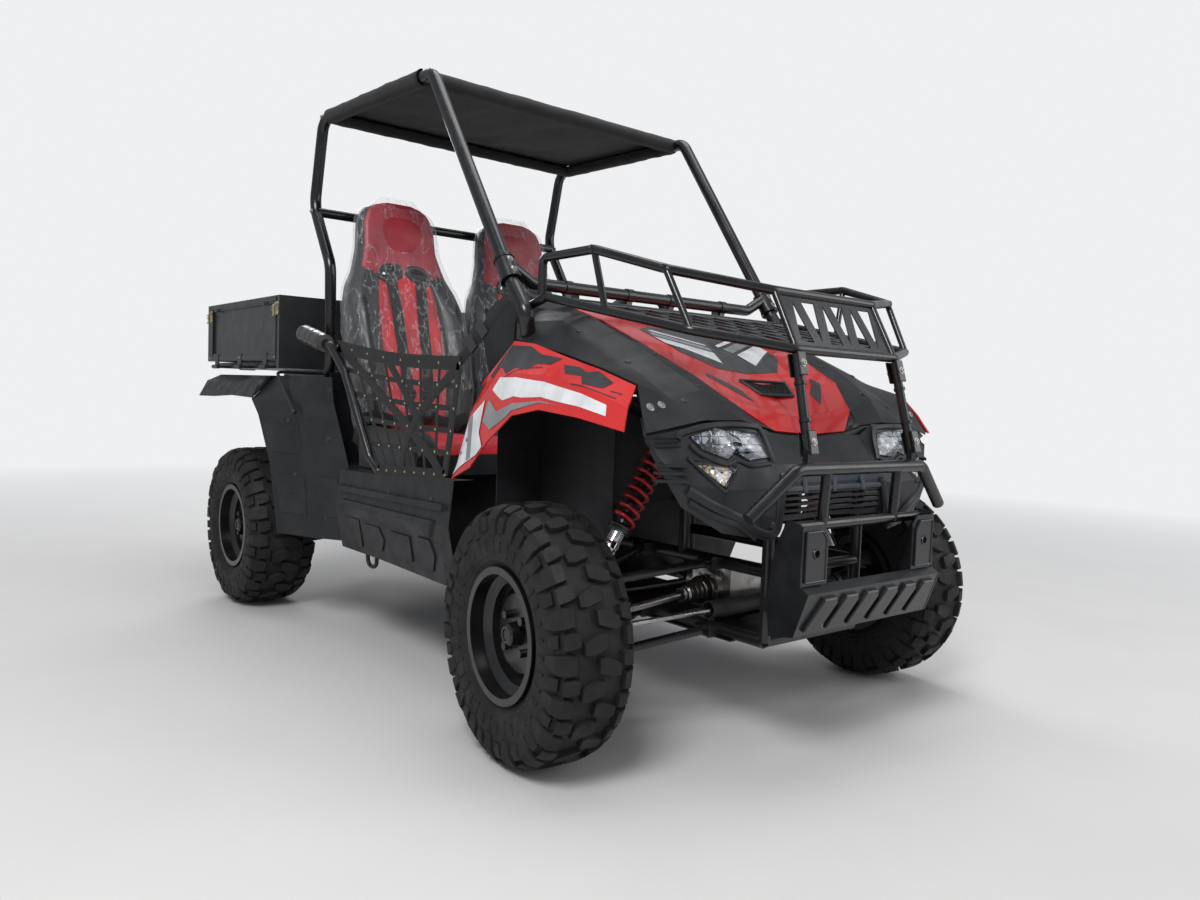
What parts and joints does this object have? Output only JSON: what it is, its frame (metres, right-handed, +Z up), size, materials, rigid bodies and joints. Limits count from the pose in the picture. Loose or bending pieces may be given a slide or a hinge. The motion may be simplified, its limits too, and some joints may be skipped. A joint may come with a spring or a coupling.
{
  "type": "side by side utility vehicle",
  "caption": "Open two-seat off-road utility vehicle with steered front wheels, roll cage, hood rack and a tipping cargo bed with drop sides",
  "frame": {"origin": "under the middle of the vehicle, on the ground the tyres stand on", "axes": "-Y forward, +X to the left of a seated driver, +Z up"},
  "size_m": [1.632, 3.249, 1.9342],
  "materials": {
    "tyre": "matt rubber with chunky lugs",
    "rim": "satin black",
    "cast_steel": "cast, dull",
    "bright_steel": "bright zinc",
    "black_tube": "gloss black powder coat",
    "spring_red": "gloss red",
    "drive_steel": "bare steel",
    "grip": "grained soft grip",
    "frame_black": "satin black",
    "canvas": "coated black cloth",
    "black_plastic": "grained moulded plastic",
    "red_body": "gloss red with black and white bands",
    "nose_plastic": "moulded plastic",
    "lens": "clear",
    "guard_black": "gloss black",
    "seat_fabric": "vinyl, red and dark grey",
    "webbing": "woven black webbing",
    "bed_grey": "satin dark grey",
    "engine_metal": "cast",
    "muffler_metal": "heat stained"
  },
  "bodies": {
    "chassis": {"suspension_arms": "black_tube", "shocks": "spring_red", "axle_drives": "drive_steel", "rear_hub_carriers": "cast_steel", "steering_gear": "cast_steel", "frame": "frame_black", "roll_cage": "black_tube", "canopy": "canvas", "cab_floor": "black_plastic", "sills": "black_plastic", "rear_fenders": "black_plastic", "front_fenders": "red_body", "hood": "red_body", "side_fairings": "black_plastic", "nose": "nose_plastic", "lamps": "lens", "dashboard": "black_plastic", "belly_plate": "black_plastic", "front_bumper": "black_tube", "skid_guard": "guard_black", "hood_rack": "black_tube", "seat_cushions": "seat_fabric", "seat_backs": "seat_fabric", "seat_belts": "webbing", "side_hoops": "black_tube", "side_nets": "webbing", "engine": "engine_metal", "muffler": "muffler_metal"},
    "knuckle_left": {"knuckle_left": "cast_steel"},
    "knuckle_right": {"knuckle_right": "cast_steel"},
    "tie_rod_left": {"tie_rod_left": "bright_steel"},
    "tie_rod_right": {"tie_rod_right": "bright_steel"},
    "wheel_front_left": {"rim_front_left": "rim", "tyre_front_left": "tyre"},
    "wheel_front_right": {"rim_front_right": "rim", "tyre_front_right": "tyre"},
    "wheel_rear_left": {"rim_rear_left": "rim", "tyre_rear_left": "tyre"},
    "wheel_rear_right": {"rim_rear_right": "rim", "tyre_rear_right": "tyre"},
    "steering_wheel": {"steering_wheel": "grip"},
    "bed": {"bed": "bed_grey"},
    "bed_side_left": {"bed_side_left": "bed_grey"},
    "bed_side_right": {"bed_side_right": "bed_grey"},
    "tailgate": {"tailgate": "bed_grey"}
  },
  "joints": [
    {"name": "steer_left", "type": "hinge", "parent": "chassis", "child": "knuckle_left", "pos_m": [0.612, -1.122, 0.3175], "axis": [0, 0, 1], "range_deg": [-24.6, 35.4]},
    {"name": "steer_right", "type": "hinge", "parent": "chassis", "child": "knuckle_right", "pos_m": [-0.612, -1.122, 0.3175], "axis": [0, 0, 1], "range_deg": [-24.6, 35.4]},
    {"name": "tie_rod_left_turn", "type": "hinge", "parent": "knuckle_left", "child": "tie_rod_left", "pos_m": [0.60118, -1.23649, 0.3338], "axis": [0, 0, 1], "range_deg": [-35.4, 24.6]},
    {"name": "tie_rod_right_turn", "type": "hinge", "parent": "knuckle_right", "child": "tie_rod_right", "pos_m": [-0.62282, -1.23649, 0.3338], "axis": [0, 0, 1], "range_deg": [-35.4, 24.6]},
    {"name": "steering_wheel_turn", "type": "hinge", "parent": "chassis", "child": "steering_wheel", "pos_m": [0.272, -0.322, 1.13], "axis": [0, -0.8192, -0.5736], "range_deg": [-284, 284]},
    {"name": "spin_front_left", "type": "hinge", "parent": "knuckle_left", "child": "wheel_front_left", "pos_m": [0.68965, -1.12934, 0.3175], "axis": [0.9956, -0.0941, 0], "continuous": true},
    {"name": "spin_front_right", "type": "hinge", "parent": "knuckle_right", "child": "wheel_front_right", "pos_m": [-0.68965, -1.11466, 0.3175], "axis": [0.9956, -0.0941, 0], "continuous": true},
    {"name": "spin_rear_left", "type": "hinge", "parent": "chassis", "child": "wheel_rear_left", "pos_m": [0.66, 0.884, 0.3175], "axis": [1, 0, 0], "continuous": true},
    {"name": "spin_rear_right", "type": "hinge", "parent": "chassis", "child": "wheel_rear_right", "pos_m": [-0.66, 0.884, 0.3175], "axis": [1, 0, 0], "continuous": true},
    {"name": "bed_tip", "type": "hinge", "parent": "chassis", "child": "bed", "pos_m": [0, 1.518, 0.925], "axis": [-1, 0, 0], "range_deg": [0, 45]},
    {"name": "bed_side_left_drop", "type": "hinge", "parent": "bed", "child": "bed_side_left", "pos_m": [0.668, 1.15, 0.965], "axis": [0, 1, 0], "range_deg": [0, 120]},
    {"name": "bed_side_right_drop", "type": "hinge", "parent": "bed", "child": "bed_side_right", "pos_m": [-0.668, 1.15, 0.965], "axis": [0, -1, 0], "range_deg": [0, 120]},
    {"name": "tailgate_drop", "type": "hinge", "parent": "bed", "child": "tailgate", "pos_m": [0, 1.616, 0.965], "axis": [-1, 0, 0], "range_deg": [0, 90]}
  ],
  "couplings": [
    {"joint": "steer_right", "follows": "steer_left", "ratio": 1},
    {"joint": "tie_rod_left_turn", "follows": "steer_left", "ratio": -1},
    {"joint": "tie_rod_right_turn", "follows": "steer_left", "ratio": -1},
    {"joint": "steering_wheel_turn", "follows": "steer_left", "ratio": -8}
  ]
}
